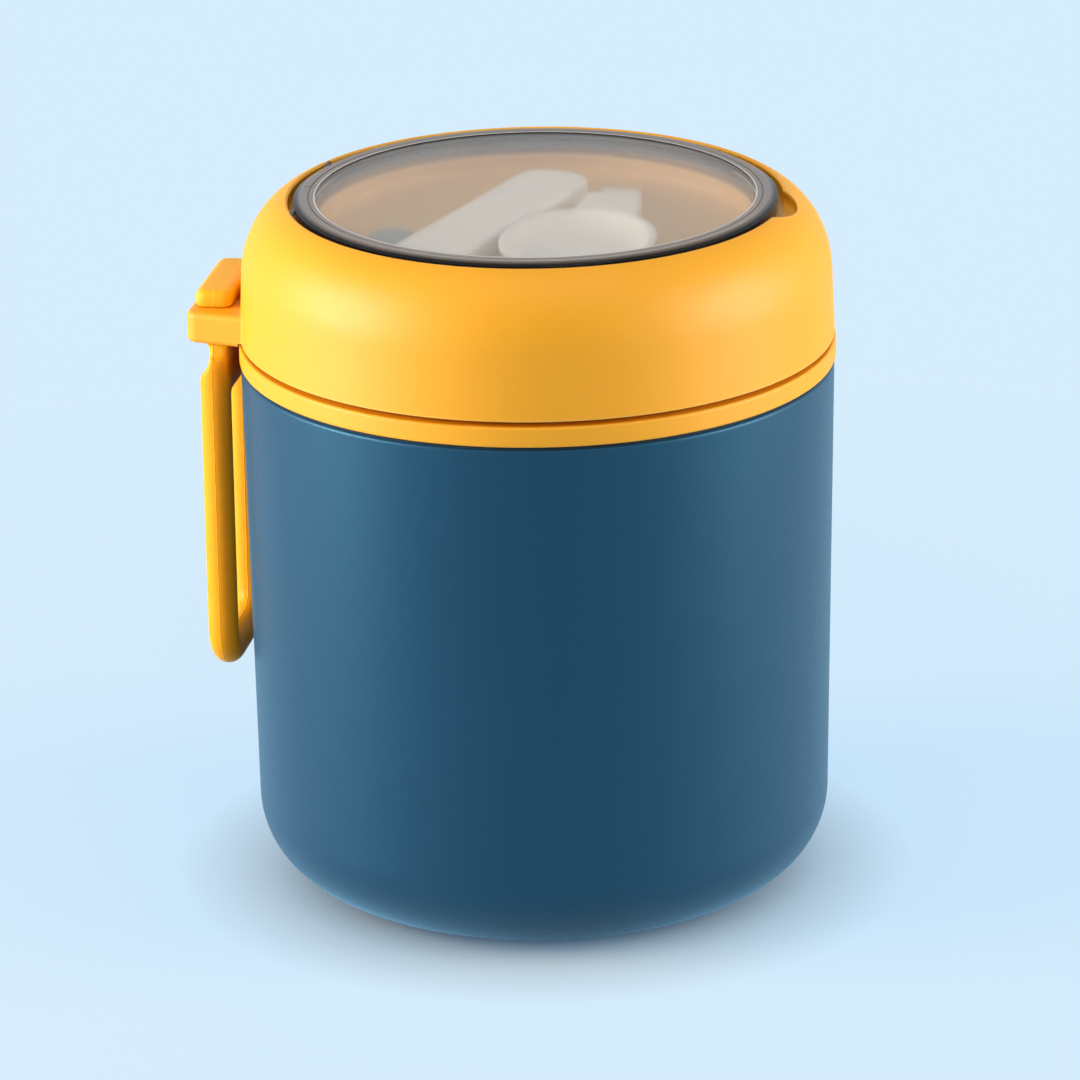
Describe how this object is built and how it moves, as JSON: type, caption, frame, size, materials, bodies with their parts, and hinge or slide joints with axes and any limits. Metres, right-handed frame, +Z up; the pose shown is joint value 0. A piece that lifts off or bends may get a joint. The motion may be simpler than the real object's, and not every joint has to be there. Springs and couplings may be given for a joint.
{
  "type": "insulated food jar",
  "caption": "Vacuum-insulated food jar with a yellow screw lid, a clear flip cover over a spoon well, a plug-together spoon and a soft carry strap.",
  "frame": {"origin": "middle of the flat face that the jar stands on, on the jar's axis", "axes": "+Z up along the jar's axis, -X towards the ear, strap and cover hinge, +X towards the finger notch"},
  "size_m": [0.1167, 0.1086, 0.1297],
  "materials": {
    "blue_coat": "matte powder coat",
    "steel": "brushed",
    "yellow_plastic": "satin",
    "yellow_soft": "satin",
    "smoke_clear": "polished, smoke tint",
    "white_plastic": "satin",
    "clear_silicone": "soft",
    "grey_silicone": "soft",
    "black_rubber": "soft",
    "foam": "rough"
  },
  "bodies": {
    "jar": {"outer_shell": "blue_coat", "inner_liner": "steel", "base_disc": "steel", "seal_bead": "steel", "getter": "steel", "base_pad": "black_rubber", "collar_gasket": "black_rubber", "collar": "yellow_plastic"},
    "lid_carrier": {"lid_gasket": "clear_silicone"},
    "lid": {"lid_shell": "yellow_plastic", "lid_liner": "yellow_plastic", "lid_insulation": "foam", "cover_pin": "steel", "strap_head": "yellow_soft"},
    "vent": {"vent_plug": "grey_silicone"},
    "cover": {"cover": "smoke_clear", "cover_seal": "clear_silicone"},
    "bowl": {"spoon_bowl": "white_plastic"},
    "handle": {"spoon_handle": "white_plastic"},
    "strap": {"strap_loop": "yellow_soft"}
  },
  "joints": [
    {"name": "lid_lift", "type": "slide", "parent": "jar", "child": "lid_carrier", "axis": [0, 0, 1], "range_m": [0, 0.0125]},
    {"name": "lid_turn", "type": "hinge", "parent": "lid_carrier", "child": "lid", "pos_m": [0, 0, 0.1141], "axis": [0, 0, 1], "range_deg": [0, 360]},
    {"name": "vent_lift", "type": "slide", "parent": "lid", "child": "vent", "axis": [0, 0, 1], "range_m": [0, 0.001]},
    {"name": "cover_hinge", "type": "hinge", "parent": "lid", "child": "cover", "pos_m": [-0.0416, 0, 0.12876], "axis": [0, -1, 0], "range_deg": [0, 90]},
    {"name": "bowl_lift", "type": "slide", "parent": "lid", "child": "bowl", "axis": [0, 0, 1], "range_m": [0, 0.001]},
    {"name": "handle_lift", "type": "slide", "parent": "lid", "child": "handle", "axis": [0, 0, 1], "range_m": [0, 0.001]},
    {"name": "strap_flex", "type": "hinge", "parent": "lid", "child": "strap", "pos_m": [-0.05665, 0, 0.1004], "axis": [0, 1, 0], "range_deg": [0, 75]}
  ],
  "couplings": [
    {"joint": "lid_lift", "follows": "lid_turn", "m_per_rad": 0.0019099}
  ]
}
